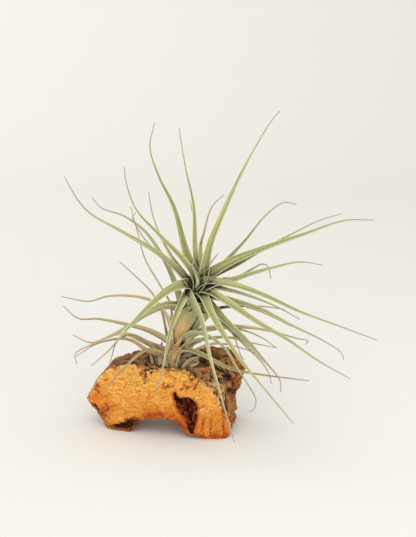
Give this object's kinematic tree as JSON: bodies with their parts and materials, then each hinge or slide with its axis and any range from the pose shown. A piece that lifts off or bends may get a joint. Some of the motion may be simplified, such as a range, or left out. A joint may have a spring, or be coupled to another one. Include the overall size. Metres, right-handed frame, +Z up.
{
  "type": "tillandsia werdermannii air plant on a cork bark chunk",
  "caption": "Air plant with a leaning crown of narrow channelled leaves and two lower shoots, seated in a hollow on top of a chunk of cork bark that stands on two flat feet.",
  "frame": {"origin": "under the middle of the whole plant and cork, on the surface that the cork's feet stand on", "axes": "+Z up, -Y towards the viewer and the cut face of the cork, +X to the right of it"},
  "size_m": [0.2217, 0.1359, 0.2246],
  "materials": {
    "cork": "rough granular cork with grey-brown bark, matte",
    "dry_sheath": "dry papery leaf sheaths, matte",
    "green_leaf": "silvery grey-green leaf with fine scales, soft sheen",
    "aged_leaf": "older grey-green leaf turning tan, matte"
  },
  "bodies": {
    "root": {"cork_bark": "cork", "main_stem": "dry_sheath", "crown_leaves": "green_leaf", "left_shoot_leaves": "aged_leaf", "right_shoot_leaves": "aged_leaf"}
  },
  "joints": []
}
